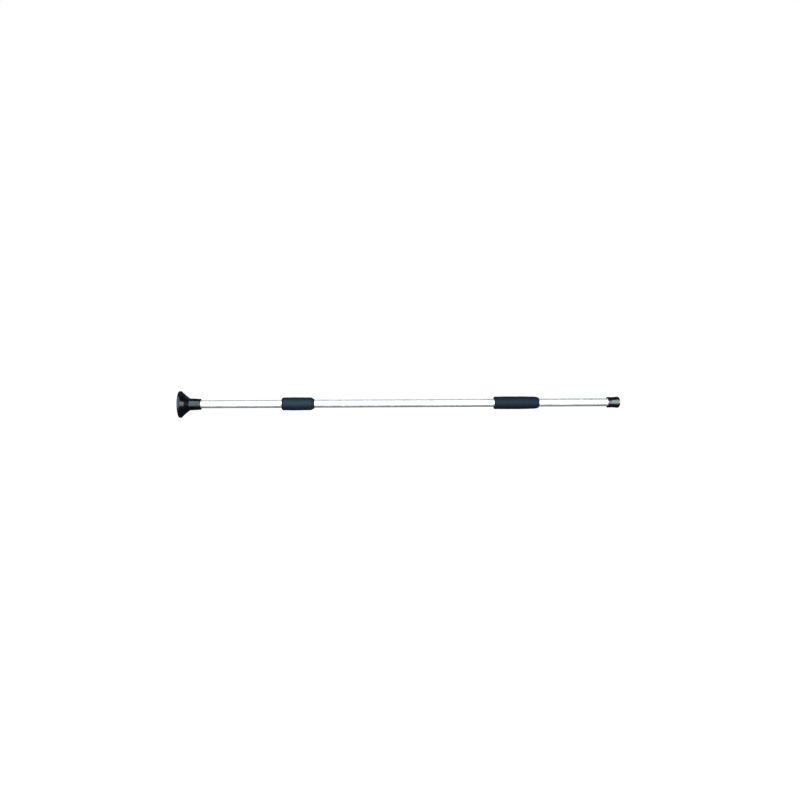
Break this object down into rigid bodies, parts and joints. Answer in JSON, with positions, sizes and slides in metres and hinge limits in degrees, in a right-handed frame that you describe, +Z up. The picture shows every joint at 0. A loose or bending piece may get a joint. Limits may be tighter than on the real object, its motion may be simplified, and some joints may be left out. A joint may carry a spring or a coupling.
{
  "type": "twist-lock bed cargo bar",
  "caption": "Telescoping twist-lock bar that wedges across a pickup bed to hold cargo, with foam grips, a flared rubber foot and a rubber ferrule.",
  "frame": {"origin": "centre of the wide foot's contact face, on the bar's axis", "axes": "+X along the bar from the wide foot to the narrow foot; +Z up as the bar lies level across a bed; +Y completes the right-handed frame"},
  "size_m": [1.405, 0.0858, 0.0858],
  "materials": {
    "tube_aluminium": "satin",
    "inner_aluminium": "satin",
    "foot_rubber": "satin",
    "grip_foam": "matte",
    "nylon": "matte",
    "black_plastic": "matte",
    "steel": "satin"
  },
  "bodies": {
    "fixed_section": {"fixed_tube": "tube_aluminium", "short_grip": "grip_foam", "wide_foot": "foot_rubber", "wide_foot_washer": "steel", "fixed_tube_plug": "black_plastic", "inner_tube": "inner_aluminium", "rear_spacer": "nylon", "front_spacer": "nylon", "tube_rivets": "steel", "guide_plug": "black_plastic", "guide_plug_pins": "steel", "tension_spring": "steel"},
    "bush": {"guide_bush": "nylon"},
    "sliding_section": {"sliding_tube": "tube_aluminium", "long_grip": "grip_foam", "narrow_foot": "foot_rubber", "narrow_foot_washer": "steel", "sliding_tube_plug": "black_plastic"},
    "lock_core": {"lock_spindle": "black_plastic", "lock_stop_pin": "steel", "lock_washer": "steel", "lock_screw": "steel"},
    "lock_cam": {"lock_ring": "nylon"}
  },
  "joints": [
    {"name": "telescope_slide", "type": "slide", "parent": "fixed_section", "child": "bush", "axis": [1, 0, 0], "range_m": [0, 0.36]},
    {"name": "twist", "type": "hinge", "parent": "bush", "child": "sliding_section", "pos_m": [0.55, 0, 0], "axis": [1, 0, 0], "range_deg": [0, 87]},
    {"name": "spring_stroke", "type": "slide", "parent": "fixed_section", "child": "lock_core", "axis": [-1, 0, 0], "range_m": [0, 0.02], "stiffness_N_per_m": 6000, "springref_m": -0.005, "deforming": ["tension_spring"]},
    {"name": "lock_ring_cam", "type": "hinge", "parent": "lock_core", "child": "lock_cam", "pos_m": [0.984, -0.0005, 0], "axis": [1, 0, 0], "range_deg": [0, 87]}
  ],
  "couplings": [
    {"joint": "lock_ring_cam", "follows": "twist", "ratio": 1}
  ]
}
